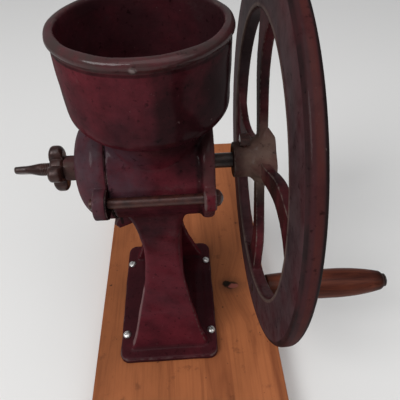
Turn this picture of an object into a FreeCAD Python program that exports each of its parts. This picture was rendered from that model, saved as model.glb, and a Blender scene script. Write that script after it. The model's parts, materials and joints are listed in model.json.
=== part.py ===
import FreeCAD, Part
import math
import os

V = FreeCAD.Vector

# Wooden board
board_length = 478.0
board_width = 207.0
board_thick = 28.0
board_shift_x = 21.0
board_shift_y = 74.0
board_round = 2.0
board_edge_round = 1.2

# Base plate of the casting
base_width = 110.0
base_depth = 161.0
base_thick = 8.0
base_corner = 11.0
base_edge_round = 2.0

# Waisted column: height above the board, width, depth
column_x = 3.5
column_corner = 5.0
column_foot = (7.0, 80.0, 134.0)
column_shin = (46.0, 73.0, 114.0)
column_calf = (88.0, 48.0, 90.0)
column_waist = (134.0, 35.5, 76.0)
column_neck = (176.0, 41.0, 74.0)
column_head = (212.0, 64.0, 80.0)
foot_wall = 9.0
foot_hollow_height = 60.0

# Grinding chamber, along X
shaft_height = 222.0
chamber_radius = 45.0
chamber_left = -30.0
chamber_right = 43.0
chamber_bore = 36.0
chamber_end_wall = 12.0
shelf_radius = 30.0
shelf_thick = 10.0
flange_thick = 10.0
flange_radius = 47.0
ear_radius = 9.5
ear_web = 9.0

# Hopper, round the vertical axis
hopper_x = 6.5
hopper_radius = 60.0
hopper_wall = 5.5
hopper_bottom = 274.0
hopper_shoulder = 292.0
hopper_rim = 340.0
bead_radius = 5.2
bead_overhang = 2.5
neck_top_radius = 46.0
neck_low_radius = 33.0
throat_radius = 25.0
bowl_drop = 8.0
bowl_shoulder_rise = 2.0
bowl_swell_in = 7.0
bowl_swell_drop = 11.0
hopper_swell_out = 0.8
hopper_swell_up = 0.42
neck_rise = 8.0
neck_over_cover = 1.0

# Discharge lip under the left end of the chamber
lip_reach = 8.0
lip_drop = 58.0
lip_half_width = 22.0
lip_wall = 4.0
lip_edge = 4.0
lip_edge_rise = 6.0
lip_run = 20.0
lip_run_rise = 12.0
lip_root_rise = 8.0

# Burrs
burr_radius = 38.0
burr_thick = 8.0
burr_eye = 22.0
burr_gap = 0.6
burr_grooves = 18
groove_width = 2.4
groove_depth = 1.6
burr_hub_radius = 13.0
burr_hub_length = 5.0
burr_rim_spare = 1.5
groove_slant = 14.0
groove_start = 0.6
groove_finish = 1.1
burr_screw_count = 3
burr_screw_radius = 1.6
burr_screw_grip = 7.0
burr_screw_sunk = 0.4
burr_screw_head = 2.2

# End cover
cover_radius = 45.5
cover_flange = 10.5
cover_ear_radius = 12.0
cover_dome_depth = 17.0
cover_shoulder = 0.72
cover_boss_radius = 10.8
cover_boss_length = 14.5
cover_crown_radius = 17.0
notch_spare = 1.0
cover_inside_gap = 2.0
cover_inside_round = 3.0

# Tie bolts
bolt_y = 50.5
bolt_rise = 4.0
bolt_radius = 4.2
bolt_head_flats = 14.0
bolt_head_height = 5.5
bolt_end = 4.5

# Shaft and what it carries
shaft_radius = 6.5
shaft_right = 108.0
shaft_tail = 5.0
flat_length = 12.0
flat_depth = 0.8
bush_wall = 3.0
auger_left = -18.0
auger_length = 46.0
auger_root = 11.0
auger_radius = 28.5
auger_pitch = 34.0
auger_flight = 5.0
auger_margin = 0.5
flight_tip = 0.6
flight_sunk = 2.0
auger_pin_inset = 4.0
pin_radius = 2.0
pin_short = 0.5
button_thick = 4.0
button_radius = 5.2

# Adjusting screw and lock nut
screw_radius = 5.5
screw_shank = 9.0
blade_length = 21.0
blade_width = 19.0
blade_thick = 7.5
blade_tip_thick = 6.0
blade_taper = 0.55
blade_turn = -45.0
nut_thick = 11.5
nut_hub_radius = 12.0
nut_lobes = 4
nut_lobe_radius = 6.8
nut_lobe_reach = 13.6
nut_lobe_inset = 1.5
nut_turn = 70.0

# Flywheel
hub_gap = 18.0
hub_radius = 15.5
hub_length = 36.0
rim_left = 90.0
rim_width = 12.0
rim_radius = 154.5
rim_depth = 35.5
rim_round = 2.5
rim_lip = 1.0
spoke_count = 4
spoke_angle = 82.0
spoke_bow = -12.4
spoke_inset = 2.0
spoke_root = 6.5
spoke_tip = 14.5
spoke_flare = 9.0
spoke_flare_start = 0.75
spoke_steps = 6
spoke_in_hub = 4.0
spoke_in_rim = 3.0
set_screw_radius = 3.0
set_screw_head = 8.0
set_screw_stand = 9.0
set_screw_gap = 2.5

# Handle
handle_radius = 136.0
handle_angle = 248.0
grip_length = 119.0
grip_end_radius = 12.3
grip_belly_radius = 14.6
grip_tip_radius = 8.6
grip_belly_place = 0.56
grip_steps = 12
spindle_radius = 4.0
spindle_head_radius = 6.5
spindle_head_height = 3.0
spindle_head_flat = 0.5
spindle_head_crown = 0.6
washer_radius = 9.0
washer_thick = 1.5

# Screws into the board
screw_pitch_x = 97.5
screw_pitch_y = 99.0
wood_screw_radius = 2.4
wood_screw_length = 28.0
wood_screw_head = 4.6
wood_screw_dome = 3.0
slot_width = 1.2
slot_depth = 1.3
slot_turn = 35.0

# Clearances, how far a cutter runs past a face, and the slack for finding top edges
run_fit = 0.05
seat_fit = 0.1
end_play = 0.4
past = 1.0
edge_find = 0.1

axis_z = board_thick + shaft_height
flange_right = chamber_right + flange_thick
cover_face = chamber_left
dome_left = cover_face - cover_flange - cover_dome_depth
boss_left = dome_left - cover_boss_length
hub_left = flange_right + hub_gap
nut_left = boss_left - nut_thick
shaft_left = cover_face - burr_thick - burr_hub_length - shaft_tail
button_left = shaft_left - button_thick
bolt_z = axis_z + bolt_rise
rim_inner = rim_radius - rim_depth
rim_right = rim_left + rim_width
set_screw_x = (hub_left + rim_left) / 2
burr_pin_x = cover_face - burr_gap - burr_thick - burr_hub_length / 2
auger_pin_x = auger_left + auger_length - auger_pin_inset
handle_y = handle_radius * math.cos(math.radians(handle_angle))
handle_z = axis_z + handle_radius * math.sin(math.radians(handle_angle))
along_x = V(1, 0, 0)
up = V(0, 0, 1)


def rod(radius, x0, x1, y=0.0, z=axis_z):
    return Part.makeCylinder(radius, x1 - x0, V(x0, y, z), along_x)


def post(radius, z0, z1, x, y=0.0):
    return Part.makeCylinder(radius, z1 - z0, V(x, y, z0), up)


def box(x0, x1, y0, y1, z0, z1):
    return Part.makeBox(x1 - x0, y1 - y0, z1 - z0, V(x0, y0, z0))


def turned(points, y=0.0, z=axis_z):
    """Solid of revolution about a line along X, from (x, radius) corners."""
    corners = [V(x, y, z + r) for x, r in points]
    face = Part.Face(Part.makePolygon(corners + corners[:1]))
    return face.revolve(V(0, y, z), along_x, 360)


def rounded_rectangle(cx, width, depth, z, corner):
    hx, hy, k = width / 2, depth / 2, corner * (1 - math.sqrt(0.5))
    edges = []
    turns = ((1, 1), (-1, 1), (-1, -1), (1, -1))
    for sx, sy in turns:
        first = V(cx + sx * hx, sy * (hy - corner), z)
        second = V(cx + sx * (hx - corner), sy * hy, z)
        middle = V(cx + sx * (hx - k), sy * (hy - k), z)
        ends = (first, second) if sx * sy > 0 else (second, first)
        if edges:
            edges.append(Part.makeLine(last, ends[0]))
        else:
            start = ends[0]
        edges.append(Part.Arc(ends[0], middle, ends[1]).toShape())
        last = ends[1]
    edges.append(Part.makeLine(last, start))
    return Part.Wire(edges)


def regular_prism(flats, sides, x0, x1, y, z):
    reach = flats / 2 / math.cos(math.pi / sides)
    turns = [2 * math.pi * (i + 0.5) / sides for i in range(sides)]
    corners = [V(x0, y + reach * math.cos(t), z + reach * math.sin(t)) for t in turns]
    face = Part.Face(Part.makePolygon(corners + corners[:1]))
    return face.extrude(V(x1 - x0, 0, 0))


def about_shaft(shape, angle):
    return shape.rotated(V(0, 0, axis_z), along_x, angle)


def screw_places():
    return [(sx * screw_pitch_x / 2, sy * screw_pitch_y / 2) for sx in (-1, 1) for sy in (-1, 1)]


def wooden_board():
    outline = rounded_rectangle(0, board_width, board_length, 0, board_round)
    plank = Part.Face(outline).extrude(V(0, 0, board_thick))
    plank.translate(V(board_shift_x, board_shift_y, 0))
    top = [e for e in plank.Edges if e.BoundBox.ZMin > board_thick - edge_find]
    plank = plank.makeFillet(board_edge_round, top)
    depth = board_thick + base_thick - wood_screw_length
    holes = [post(wood_screw_radius + run_fit, depth, board_thick, x, y) for x, y in screw_places()]
    return plank.cut(holes)


def base_screws():
    solids = []
    seat = board_thick + base_thick
    for i, (x, y) in enumerate(screw_places()):
        shank = post(wood_screw_radius, seat - wood_screw_length, seat, x, y)
        sphere_radius = (wood_screw_head ** 2 + wood_screw_dome ** 2) / (2 * wood_screw_dome)
        ball = Part.makeSphere(sphere_radius, V(x, y, seat + wood_screw_dome - sphere_radius))
        dome = ball.common(post(wood_screw_head, seat, seat + wood_screw_dome, x, y))
        slot_floor = seat + wood_screw_dome - slot_depth
        slot = box(x - wood_screw_head, x + wood_screw_head, y - slot_width / 2, y + slot_width / 2,
                   slot_floor, seat + wood_screw_dome)
        slot.rotate(V(x, y, 0), up, slot_turn * (i + 1))
        solids.append(shank.fuse(dome.cut(slot)))
    return Part.makeCompound(solids)


def column():
    """Smooth loft through the sections, from the foot up into the chamber."""
    sections = (column_foot, column_shin, column_calf, column_waist, column_neck, column_head)
    wires = []
    for height, width, depth in sections:
        wires.append(rounded_rectangle(column_x, width, depth, board_thick + height, column_corner))
    return Part.makeLoft(wires, True, False)


def foot_hollow():
    """Tapered hollow in the foot, open to the board."""
    below = board_thick - past
    low_width = column_foot[1] - 2 * foot_wall
    low_depth = column_foot[2] - 2 * foot_wall
    high_width = column_calf[1] - 2 * foot_wall
    high_depth = column_calf[2] - 2 * foot_wall
    low = rounded_rectangle(column_x, low_width, low_depth, below, column_corner)
    top = board_thick + foot_hollow_height
    high = rounded_rectangle(column_x, high_width, high_depth, top, column_corner)
    return Part.makeLoft([low, high], True, True)


def base_plate():
    outline = rounded_rectangle(0, base_width, base_depth, board_thick, base_corner)
    plate = Part.Face(outline).extrude(V(0, 0, base_thick))
    top = board_thick + base_thick
    rims = [e for e in plate.Edges if e.BoundBox.ZMin > top - edge_find]
    return plate.makeFillet(base_edge_round, rims)


def eared_plate(x0, x1, radius, ear):
    """Round plate with an ear at the front and one at the rear for the tie bolts."""
    disc = rod(radius, x0, x1)
    web = box(x0, x1, -bolt_y, bolt_y, bolt_z - ear_web, bolt_z + ear_web)
    ears = [rod(ear, x0, x1, side * bolt_y, bolt_z) for side in (-1, 1)]
    return disc.multiFuse([web] + ears)


def bolt_holes(x0, x1):
    return [rod(bolt_radius + seat_fit, x0, x1, side * bolt_y, bolt_z) for side in (-1, 1)]


def hopper_outside():
    """Bowl turned about its upright axis, with a round bead along the rim."""
    low = board_thick + hopper_bottom
    shoulder = board_thick + hopper_shoulder
    rim = board_thick + hopper_rim
    swell_r = neck_top_radius + (hopper_radius - neck_top_radius) * hopper_swell_out
    swell = V(swell_r, 0, low + (shoulder - low) * hopper_swell_up)
    foot = V(neck_top_radius, 0, low)
    side_low = V(hopper_radius, 0, shoulder)
    side_high = V(hopper_radius, 0, rim)
    edges = [Part.makeLine(V(0, 0, low), foot), Part.Arc(foot, swell, side_low).toShape(),
             Part.makeLine(side_low, side_high), Part.makeLine(side_high, V(0, 0, rim)),
             Part.makeLine(V(0, 0, rim), V(0, 0, low))]
    bowl = Part.Face(Part.Wire(edges)).revolve(V(), up, 360)
    bead = Part.makeTorus(hopper_radius + bead_overhang - bead_radius, bead_radius, V(0, 0, rim), up)
    whole = bowl.fuse(bead)
    whole.translate(V(hopper_x, 0, 0))
    return whole


def hopper_inside():
    """Space inside the bowl, down through the throat to the shaft."""
    inner = hopper_radius - hopper_wall
    mouth = board_thick + hopper_rim + 2 * bead_radius
    shoulder = board_thick + hopper_shoulder
    top = V(inner, 0, mouth)
    side_low = V(inner, 0, shoulder + bowl_shoulder_rise)
    swell = V(inner - bowl_swell_in, 0, shoulder - bowl_swell_drop)
    floor = V(throat_radius, 0, board_thick + hopper_bottom - bowl_drop)
    throat = V(throat_radius, 0, axis_z)
    edges = [Part.makeLine(V(0, 0, mouth), top), Part.makeLine(top, side_low),
             Part.Arc(side_low, swell, floor).toShape(), Part.makeLine(floor, throat),
             Part.makeLine(throat, V(0, 0, axis_z)), Part.makeLine(V(0, 0, axis_z), V(0, 0, mouth))]
    space = Part.Face(Part.Wire(edges)).revolve(V(), up, 360)
    space.translate(V(hopper_x, 0, 0))
    return space


def trough(half, edge, rise):
    """Sloping tongue under the chamber mouth, extruded across the mill."""
    low = axis_z - lip_drop + rise
    root = axis_z - chamber_radius + lip_root_rise
    tip = chamber_left - lip_reach
    back = chamber_left + lip_run
    corners = [V(chamber_left + past, -half, root), V(tip, -half, low + lip_edge_rise),
               V(tip + edge, -half, low), V(back, -half, low + lip_run_rise), V(back, -half, root)]
    face = Part.Face(Part.makePolygon(corners + corners[:1]))
    return face.extrude(V(0, 2 * half, 0))


def discharge_lip():
    hollow = trough(lip_half_width - lip_wall, 0.0, lip_wall + past)
    hollow.translate(V(-lip_wall - 2 * past, 0, 0))
    return trough(lip_half_width, lip_edge, 0.0).cut(hollow)


def mill_body():
    """One casting: base plate, hollow-footed column, chamber, flange, neck, bowl and lip."""
    bowl_low = board_thick + hopper_bottom
    neck_low = axis_z + neck_rise
    neck = Part.makeCone(neck_low_radius, neck_top_radius, bowl_low - neck_low, V(hopper_x, 0, neck_low), up)
    over_cover = axis_z + cover_radius + neck_over_cover
    beside = box(chamber_left, flange_right, -base_depth, base_depth, axis_z, over_cover)
    above = box(-base_depth, base_depth, -base_depth, base_depth, over_cover, bowl_low)
    neck = neck.common(beside.fuse(above))
    chamber = rod(chamber_radius, chamber_left, chamber_right)
    flange = eared_plate(chamber_right, flange_right, flange_radius, ear_radius)
    body = base_plate().multiFuse([column(), chamber, flange, neck, hopper_outside(), discharge_lip()])
    bore_end = flange_right - chamber_end_wall
    seat_end = chamber_left + burr_thick
    cuts = [hopper_inside(), foot_hollow()]
    cuts.append(rod(chamber_bore, seat_end + shelf_thick, bore_end))
    cuts.append(rod(shelf_radius, seat_end - past, bore_end))
    cuts.append(rod(burr_radius + seat_fit, chamber_left - past, seat_end))
    cuts.append(rod(shaft_radius + bush_wall + seat_fit, bore_end - past, flange_right + past))
    cuts += bolt_holes(chamber_right - past, flange_right + past)
    plate_top = board_thick + base_thick
    for x, y in screw_places():
        cuts.append(post(wood_screw_radius + seat_fit, board_thick - past, plate_top + past, x, y))
    screw_end = seat_end + burr_screw_grip + past
    for y, z in burr_screw_places():
        cuts.append(rod(burr_screw_radius + seat_fit, seat_end - past, screw_end, y, z))
    return body.cut(cuts)


def burr_screw_places():
    reach = (shelf_radius + burr_radius) / 2
    turns = [math.pi / 2 + 2 * math.pi * i / burr_screw_count for i in range(burr_screw_count)]
    return [(reach * math.cos(t), axis_z + reach * math.sin(t)) for t in turns]


def grooves(x0, x1, slant):
    """Slanted cutters all round a burr's face."""
    cutter = box(x0, x1, burr_eye * groove_start, burr_radius * groove_finish,
                 axis_z - groove_width / 2, axis_z + groove_width / 2)
    cutter.rotate(V(0, burr_radius, axis_z), along_x, slant)
    return [about_shaft(cutter, 360.0 * i / burr_grooves) for i in range(burr_grooves)]


def fixed_burr():
    left = chamber_left
    right = left + burr_thick
    ring = rod(burr_radius, left, right).cut(rod(burr_eye, left - past, right + past))
    cuts = grooves(left - past, left + groove_depth, groove_slant)
    sunk = left + groove_depth + burr_screw_sunk + burr_screw_head
    for y, z in burr_screw_places():
        cuts.append(rod(burr_screw_radius + seat_fit, left - past, right + past, y, z))
        cuts.append(rod(2 * burr_screw_radius + seat_fit, left - past, sunk, y, z))
    return ring.cut(cuts)


def fixed_burr_screws():
    face = chamber_left + groove_depth + burr_screw_sunk
    shoulder = face + burr_screw_head
    tip = chamber_left + burr_thick + burr_screw_grip
    solids = []
    for y, z in burr_screw_places():
        head = rod(2 * burr_screw_radius, face, shoulder, y, z)
        solids.append(head.fuse(rod(burr_screw_radius, shoulder, tip, y, z)))
    return Part.makeCompound(solids)


def pin_through(x, half, spare):
    return Part.makeCylinder(pin_radius + spare, 2 * half, V(x, 0, axis_z - half), up)


def moving_burr():
    right = cover_face - burr_gap
    left = right - burr_thick
    hub = rod(burr_hub_radius, left - burr_hub_length, left)
    disc = rod(burr_radius - burr_rim_spare, left, right).fuse(hub)
    cuts = grooves(right - groove_depth, right + past, -groove_slant)
    cuts.append(rod(shaft_radius + run_fit, left - burr_hub_length - past, right + past))
    cuts.append(pin_through(burr_pin_x, burr_hub_radius + past, seat_fit))
    return disc.cut(cuts)


def burr_pin():
    return pin_through(burr_pin_x, burr_hub_radius - pin_short, 0)


def auger_pin():
    return pin_through(auger_pin_x, auger_root - pin_short, 0)


def feed_auger():
    """Sleeve with one tapered flight swept along a helix."""
    right = auger_left + auger_length
    sleeve = rod(auger_root, auger_left, right)
    half = auger_flight / 2
    helix = Part.makeHelix(auger_pitch, auger_length - 2 * (half + auger_margin), auger_radius)
    root = auger_root - flight_sunk
    corners = [V(root, 0, -half), V(auger_radius, 0, -half * flight_tip),
               V(auger_radius, 0, half * flight_tip), V(root, 0, half)]
    section = Part.makePolygon(corners + corners[:1])
    flight = Part.Wire(helix.Edges).makePipeShell([section], True, True)
    flight.rotate(V(), V(0, 1, 0), 90)
    flight.translate(V(auger_left + half + auger_margin, 0, axis_z))
    bore = rod(shaft_radius + run_fit, auger_left - past, right + past)
    return sleeve.fuse(flight).cut([bore, pin_through(auger_pin_x, auger_root + past, seat_fit)])


def drive_shaft():
    shaft = rod(shaft_radius, shaft_left, shaft_right)
    holes = [pin_through(x, shaft_radius + past, seat_fit) for x in (burr_pin_x, auger_pin_x)]
    flat = box(set_screw_x - flat_length / 2, set_screw_x + flat_length / 2, -shaft_radius, shaft_radius,
               axis_z + shaft_radius - flat_depth, axis_z + shaft_radius + past)
    return shaft.cut(holes + [flat])


def shaft_bush():
    start = flange_right - chamber_end_wall
    bore = rod(shaft_radius + run_fit, start - past, flange_right + past)
    return rod(shaft_radius + bush_wall, start, flange_right).cut(bore)


def end_cover():
    """Domed cover over the burrs, with a boss for the adjusting screw and a notch over the lip."""
    flange_left = cover_face - cover_flange
    outline = eared_plate(flange_left, cover_face, cover_radius, cover_ear_radius)
    edge = V(flange_left + past, 0, cover_radius)
    crown = V(dome_left, 0, cover_crown_radius)
    swell_r = cover_crown_radius + (cover_radius - cover_crown_radius) * cover_shoulder
    swell = V(flange_left - cover_dome_depth * cover_shoulder, 0, swell_r)
    start = V(edge.x, 0, 0)
    end = V(dome_left, 0, 0)
    edges = [Part.makeLine(start, edge), Part.Arc(edge, swell, crown).toShape(), Part.makeLine(crown, end),
             Part.makeLine(end, start)]
    dome = Part.Face(Part.Wire(edges)).revolve(V(), along_x, 360)
    dome.translate(V(0, 0, axis_z))
    boss = rod(cover_boss_radius, boss_left, dome_left + past)
    inside_left = shaft_left - end_play - cover_inside_gap
    slope = flange_left - cover_inside_gap
    cavity = turned([(cover_face + past, 0), (cover_face + past, burr_radius), (slope, burr_radius),
                     (inside_left, burr_hub_radius + cover_inside_round), (inside_left, 0)])
    notch_half = lip_half_width + notch_spare
    notch = box(slope, cover_face + past, -notch_half, notch_half,
                axis_z - cover_radius - past, axis_z - burr_radius / 2)
    bore = rod(screw_radius + run_fit, boss_left - past, inside_left + past)
    holes = bolt_holes(flange_left - past, cover_face + past)
    return outline.multiFuse([dome, boss]).cut([cavity, notch, bore] + holes)


def tie_bolts():
    solids = []
    for side in (-1, 1):
        y = side * bolt_y
        shank = rod(bolt_radius, cover_face - cover_flange - bolt_end, flange_right, y, bolt_z)
        head = regular_prism(bolt_head_flats, 6, flange_right, flange_right + bolt_head_height, y, bolt_z)
        solids.append(shank.fuse(head))
    return Part.makeCompound(solids)


def thrust_button():
    return rod(button_radius, button_left, shaft_left)


def adjusting_screw():
    """Round screw whose outer end is forged down to a flat blade."""
    left = nut_left - screw_shank
    shank = rod(screw_radius, left, button_left)
    half = blade_width / 2
    round_end = oval(left, screw_radius, screw_radius)
    forged = oval(left - blade_length * blade_taper, half, blade_thick / 2)
    tip = oval(left - blade_length, half, blade_tip_thick / 2)
    blade = Part.makeLoft([round_end, forged, tip], True, True)
    return shank.fuse(about_shaft(blade, blade_turn))


def oval(x, half_width, half_thick):
    long_half = max(half_width, half_thick)
    short_half = min(half_width, half_thick)
    if long_half == short_half:
        ring = Part.Circle(V(x, 0, axis_z), along_x, long_half)
    else:
        ring = Part.Ellipse(V(x, long_half, axis_z), V(x, 0, axis_z + short_half), V(x, 0, axis_z))
    return Part.Wire(ring.toShape())


def lock_nut():
    hub = rod(nut_hub_radius, nut_left, boss_left)
    lobes = []
    for i in range(nut_lobes):
        turn = math.radians(nut_turn + 360.0 * i / nut_lobes)
        y = nut_lobe_reach * math.cos(turn)
        z = axis_z + nut_lobe_reach * math.sin(turn)
        lobes.append(rod(nut_lobe_radius, nut_left + nut_lobe_inset, boss_left - nut_lobe_inset, y, z))
    return hub.multiFuse(lobes).cut(rod(screw_radius + run_fit, nut_left - past, boss_left + past))


def spoke():
    """Bowed spoke: edges at plus and minus the half width about a sine-bowed centre line."""
    start = hub_radius - spoke_in_hub
    span = rim_inner + spoke_in_rim - start

    def edge(side):
        points = []
        for i in range(spoke_steps + 1):
            s = i / spoke_steps
            r = start + span * s
            flare = max(s - spoke_flare_start, 0) / (1 - spoke_flare_start)
            half = spoke_root + (spoke_tip - spoke_root) * s ** 2 + spoke_flare * flare ** 2
            turn = math.radians(spoke_angle + spoke_bow * math.sin(math.pi * s)) + side * half / r
            points.append(V(rim_left + spoke_inset, r * math.cos(turn), axis_z + r * math.sin(turn)))
        curve = Part.BSplineCurve()
        curve.interpolate(points)
        return curve.toShape(), points

    low, low_points = edge(-1)
    high, high_points = edge(1)
    ends = [Part.makeLine(low_points[k], high_points[k]) for k in (0, -1)]
    face = Part.Face(Part.Wire(Part.__sortEdges__([low, high] + ends)))
    return face.extrude(V(rim_width - 2 * spoke_inset, 0, 0))


def flywheel():
    """Flat rim with a small lip round its inner edge, bowed spokes and a long hub."""
    k = rim_round
    rim = turned([(rim_left, rim_inner + k), (rim_left - rim_lip, rim_inner + rim_lip), (rim_left, rim_inner),
                  (rim_right, rim_inner), (rim_right, rim_radius - k), (rim_right - k, rim_radius),
                  (rim_left + k, rim_radius), (rim_left, rim_radius - k)])
    hub_right = hub_left + hub_length
    hub = rod(hub_radius, hub_left, hub_right)
    first = spoke()
    spokes = [about_shaft(first, 360.0 * i / spoke_count) for i in range(spoke_count)]
    wheel = rim.multiFuse([hub] + spokes)
    cuts = [rod(shaft_radius + run_fit, hub_left - past, hub_right + past),
            rod(spindle_radius + run_fit, rim_left - 2 * past, rim_right + 2 * past, handle_y, handle_z),
            post(set_screw_radius + seat_fit, axis_z, axis_z + hub_radius + past, set_screw_x)]
    return wheel.cut(cuts)


def hub_set_screw():
    half = set_screw_head / 2
    low = axis_z + hub_radius + set_screw_gap
    top = axis_z + hub_radius + set_screw_stand
    shank = post(set_screw_radius, axis_z + shaft_radius - flat_depth, top, set_screw_x)
    return shank.fuse(box(set_screw_x - half, set_screw_x + half, -half, half, low, top))


def handle_spindle():
    """Pin through the rim, with a low conical head that keeps the grip on."""
    tail = rim_right + washer_thick + end_play + grip_length + end_play
    pin = rod(spindle_radius, rim_left, tail, handle_y, handle_z)
    flat = tail + spindle_head_height * spindle_head_flat
    crown = tail + spindle_head_height
    head = turned([(tail, 0), (tail, spindle_head_radius), (flat, spindle_head_radius),
                   (crown, spindle_head_radius * spindle_head_crown), (crown, 0)], handle_y, handle_z)
    return pin.fuse(head)


def handle_washer():
    right = rim_right + washer_thick
    bore = rod(spindle_radius + run_fit, rim_right - past, right + past, handle_y, handle_z)
    return rod(washer_radius, rim_right, right, handle_y, handle_z).cut(bore)


def handle_grip():
    """Turned grip: the radius falls from the belly as the square of the way to either end."""
    x0 = rim_right + washer_thick + end_play
    end_x = x0 + grip_length
    outline = [(x0, 0)]
    for i in range(grip_steps + 1):
        s = i / grip_steps
        if s < grip_belly_place:
            drop = (grip_belly_radius - grip_end_radius) * (1 - s / grip_belly_place) ** 2
        else:
            way = (s - grip_belly_place) / (1 - grip_belly_place)
            drop = (grip_belly_radius - grip_tip_radius) * way ** 2
        outline.append((x0 + grip_length * s, grip_belly_radius - drop))
    outline.append((end_x, 0))
    bore = rod(spindle_radius + run_fit, x0 - past, end_x + past, handle_y, handle_z)
    return turned(outline, handle_y, handle_z).cut(bore)


pieces = (wooden_board, base_screws, mill_body, end_cover, tie_bolts, shaft_bush, fixed_burr,
          fixed_burr_screws, drive_shaft, feed_auger, auger_pin, moving_burr, burr_pin, thrust_button,
          adjusting_screw, lock_nut, flywheel, hub_set_screw, handle_spindle, handle_washer, handle_grip)
os.makedirs("parts", exist_ok=True)
for piece in pieces:
    shape = piece()
    shape.exportStep(f"parts/{piece.__name__}.step")
    print(piece.__name__, "valid" if shape.isValid() else "INVALID", len(shape.Solids), "solids",
          round(shape.Volume / 1000, 2), "cm3")
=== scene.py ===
import json
import math
import bmesh
import bpy
import numpy as np
from mathutils import Matrix, Vector

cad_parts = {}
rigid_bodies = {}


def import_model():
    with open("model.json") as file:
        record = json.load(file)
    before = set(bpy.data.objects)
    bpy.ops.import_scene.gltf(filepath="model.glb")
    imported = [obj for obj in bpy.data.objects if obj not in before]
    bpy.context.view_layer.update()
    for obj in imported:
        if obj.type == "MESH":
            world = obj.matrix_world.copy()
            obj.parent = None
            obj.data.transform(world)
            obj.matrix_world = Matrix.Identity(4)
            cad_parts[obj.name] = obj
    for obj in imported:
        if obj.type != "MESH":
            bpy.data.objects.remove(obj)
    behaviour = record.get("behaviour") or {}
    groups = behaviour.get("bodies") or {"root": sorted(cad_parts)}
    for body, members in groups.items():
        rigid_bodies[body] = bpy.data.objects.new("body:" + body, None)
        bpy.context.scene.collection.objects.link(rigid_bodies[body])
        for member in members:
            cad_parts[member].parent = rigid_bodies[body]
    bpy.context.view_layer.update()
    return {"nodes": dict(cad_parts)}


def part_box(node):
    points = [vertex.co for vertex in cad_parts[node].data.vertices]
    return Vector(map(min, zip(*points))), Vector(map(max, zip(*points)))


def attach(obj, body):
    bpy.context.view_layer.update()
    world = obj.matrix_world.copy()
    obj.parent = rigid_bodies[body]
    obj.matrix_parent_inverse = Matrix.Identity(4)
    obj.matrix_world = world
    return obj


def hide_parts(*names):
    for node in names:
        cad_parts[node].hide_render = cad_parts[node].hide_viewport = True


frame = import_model()
nodes = frame["nodes"]
print("frame loaded:", len(nodes), "nodes")

scene = bpy.context.scene
scene.view_settings.view_transform = 'Standard'
for spare in [o for o in bpy.data.objects if o.name in ("Cube", "Light", "Camera")]:
    bpy.data.objects.remove(spare)

# places read from the frame, and the few that its boxes can't give
known = dict(bowlX=0.0065, rimWidth=0.012, rimDepth=0.0355)
bowlX = known["bowlX"]
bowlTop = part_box("mill_body")[1].z
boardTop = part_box("wooden_board")[1].z
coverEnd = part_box("end_cover")[1].x
shaftLow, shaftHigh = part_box("drive_shaft")
wheelLow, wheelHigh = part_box("flywheel")
gripLow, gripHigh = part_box("handle_grip")
shaftZ = (shaftLow.z + shaftHigh.z) / 2
gripAxis = ((gripLow.y + gripHigh.y) / 2, (gripLow.z + gripHigh.z) / 2)
rimRadius = (wheelHigh.z - wheelLow.z) / 2
rimInner = rimRadius - known["rimDepth"]
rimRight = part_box("handle_washer")[0].x
rimLeft = rimRight - known["rimWidth"]


# shader helpers
def newFinish(name):
    mat = bpy.data.materials.new(name)
    mat.use_nodes = True
    tree = mat.node_tree
    coords = tree.nodes.new("ShaderNodeTexCoord")
    return mat, tree, tree.nodes["Principled BSDF"], coords.outputs["Object"]


def feed(tree, socket, value):
    # a number is set on the socket, anything else is linked to it
    if isinstance(value, (int, float)):
        socket.default_value = value
    else:
        tree.links.new(value, socket)


def calc(tree, operation, *values):
    n = tree.nodes.new("ShaderNodeMath")
    n.operation = operation
    for socket, value in zip(n.inputs, values):
        feed(tree, socket, value)
    return n.outputs[0]


def times(tree, a, b):
    return calc(tree, 'MULTIPLY', a, b)


def noise(tree, vec, scale, detail=4.0, rough=0.55, distortion=0.0):
    n = tree.nodes.new("ShaderNodeTexNoise")
    n.inputs["Scale"].default_value = scale
    n.inputs["Detail"].default_value = detail
    n.inputs["Roughness"].default_value = rough
    n.inputs["Distortion"].default_value = distortion
    tree.links.new(vec, n.inputs["Vector"])
    return n.outputs["Fac"]


def ramp(tree, fac, stops):
    n = tree.nodes.new("ShaderNodeValToRGB")
    while len(n.color_ramp.elements) < len(stops):
        n.color_ramp.elements.new(0.5)
    for element, (place, value) in zip(n.color_ramp.elements, stops):
        element.position = place
        if isinstance(value, (int, float)):
            value = (value, value, value)
        element.color = (*value, 1.0)
    tree.links.new(fac, n.inputs["Fac"])
    return n.outputs["Color"]


def cloud(tree, vec, stops, scale, detail=4.0, rough=0.55):
    # noise carried through a ramp
    return ramp(tree, noise(tree, vec, scale, detail, rough), stops)


def setRough(tree, shader, vec, low, high, scale, detail, rough=0.55):
    gloss = cloud(tree, vec, [(0.3, low), (0.7, high)], scale, detail, rough)
    tree.links.new(gloss, shader.inputs["Roughness"])


def mix(tree, fac, a, b, kind='MIX'):
    n = tree.nodes.new("ShaderNodeMix")
    n.data_type = 'RGBA'
    n.blend_type = kind
    feed(tree, n.inputs[0], fac)
    for socket, value in ((n.inputs[6], a), (n.inputs[7], b)):
        if isinstance(value, tuple):
            socket.default_value = (*value, 1.0)
        else:
            tree.links.new(value, socket)
    return n.outputs[2]


def bump(tree, shader, layers):
    last = None
    for height, strength, depth in layers:
        n = tree.nodes.new("ShaderNodeBump")
        n.inputs["Strength"].default_value = strength
        n.inputs["Distance"].default_value = depth
        tree.links.new(height, n.inputs["Height"])
        if last:
            tree.links.new(last, n.inputs["Normal"])
        last = n.outputs["Normal"]
    tree.links.new(last, shader.inputs["Normal"])


def stretched(tree, vec, scale):
    n = tree.nodes.new("ShaderNodeMapping")
    n.inputs["Scale"].default_value = scale
    tree.links.new(vec, n.inputs["Vector"])
    return n.outputs["Vector"]


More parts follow.
